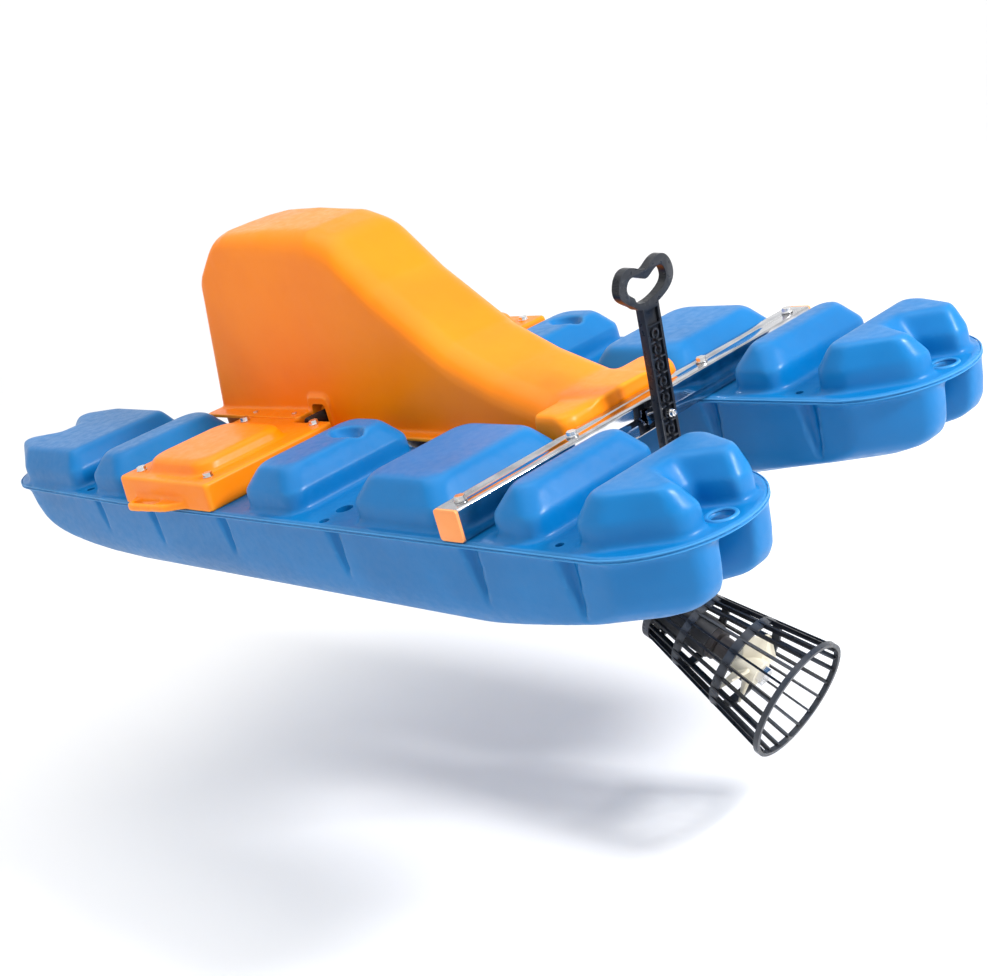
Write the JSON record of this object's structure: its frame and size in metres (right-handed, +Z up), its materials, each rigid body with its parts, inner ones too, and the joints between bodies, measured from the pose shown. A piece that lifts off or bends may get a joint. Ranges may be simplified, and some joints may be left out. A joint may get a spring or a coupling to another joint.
{
  "type": "floating propeller aerator",
  "caption": "Twin-float propeller aerator: blue floats, steel crossbar, orange hood over a tilting drive with guarded propeller, and a perforated depth lever.",
  "frame": {"origin": "on the centreline at the floats' flange plane, under the bolts of the rear crossbar", "axes": "+X to the bow, +Y to port, +Z up"},
  "size_m": [2.287, 1.15, 1.1597],
  "materials": {
    "float_blue": "moulded blue polyethylene with a fine orange-peel texture",
    "moulded_orange": "smooth rotomoulded orange polyethylene",
    "cap_orange": "glossy orange moulded end caps",
    "polished_steel": "polished stainless steel tube",
    "bright_steel": "zinc plated fasteners and turned steel",
    "black_plastic": "glossy black glass-filled nylon",
    "black_matt": "satin black moulded plastic",
    "rubber_black": "black rubber",
    "motor_paint": "dark blue-grey painted aluminium casting",
    "motor_iron": "bare laminated iron",
    "bronze": "bronze bush",
    "ivory_plastic": "ivory coloured nylon"
  },
  "bodies": {
    "craft": {"float_port": "float_blue", "float_starboard": "float_blue", "rear_crossbar": "polished_steel", "crossbar_end_caps": "cap_orange", "crossbar_bolts": "bright_steel", "crossbar_nuts": "bright_steel", "front_crosspiece": "moulded_orange", "crosspiece_bolts": "bright_steel", "crosspiece_nuts": "bright_steel", "hood": "moulded_orange", "hood_screws": "bright_steel", "pivot_bearings": "moulded_orange", "lever_stud": "bright_steel", "lever_spring": "polished_steel"},
    "drive_leg": {"motor_frame": "motor_paint", "motor_stator": "motor_iron", "motor_drive_end_bell": "motor_paint", "motor_fan_end_bell": "motor_paint", "fan_cowl": "motor_paint", "terminal_box": "motor_paint", "terminal_box_lid": "motor_paint", "cable_gland": "black_matt", "drive_hub": "motor_paint", "pivot_stubs": "bright_steel", "pivot_sleeves": "rubber_black", "leg_tube": "bright_steel", "shaft_bushes": "bronze", "bearing_housing": "black_matt", "shaft_bearings": "bright_steel", "seal_carrier": "bright_steel", "shaft_seal": "rubber_black", "propeller_guard": "black_plastic", "guard_screws": "bright_steel", "lever_bracket": "bright_steel", "lever_pin": "bright_steel"},
    "shaft": {"motor_rotor": "motor_iron", "cooling_fan": "black_matt", "shaft_coupling": "bright_steel", "drive_shaft": "bright_steel", "propeller": "ivory_plastic", "propeller_spacer": "black_matt", "propeller_nut": "bright_steel"},
    "lever": {"depth_lever": "black_plastic"}
  },
  "joints": [
    {"name": "leg_tilt", "type": "hinge", "parent": "craft", "child": "drive_leg", "pos_m": [0.862, 0, 0.048], "axis": [0, 1, 0], "range_deg": [-7.5, 6]},
    {"name": "shaft_spin", "type": "hinge", "parent": "drive_leg", "child": "shaft", "pos_m": [0.862, 0, 0.048], "axis": [-0.8704, 0, -0.4924], "continuous": true},
    {"name": "lever_swing", "type": "hinge", "parent": "drive_leg", "child": "lever", "pos_m": [-0.0218, 0, -0.33943], "axis": [0, 1, 0], "range_deg": [-1.4, 1.8]}
  ],
  "couplings": [
    {"joint": "lever_swing", "follows": "leg_tilt", "ratio": -0.2}
  ]
}
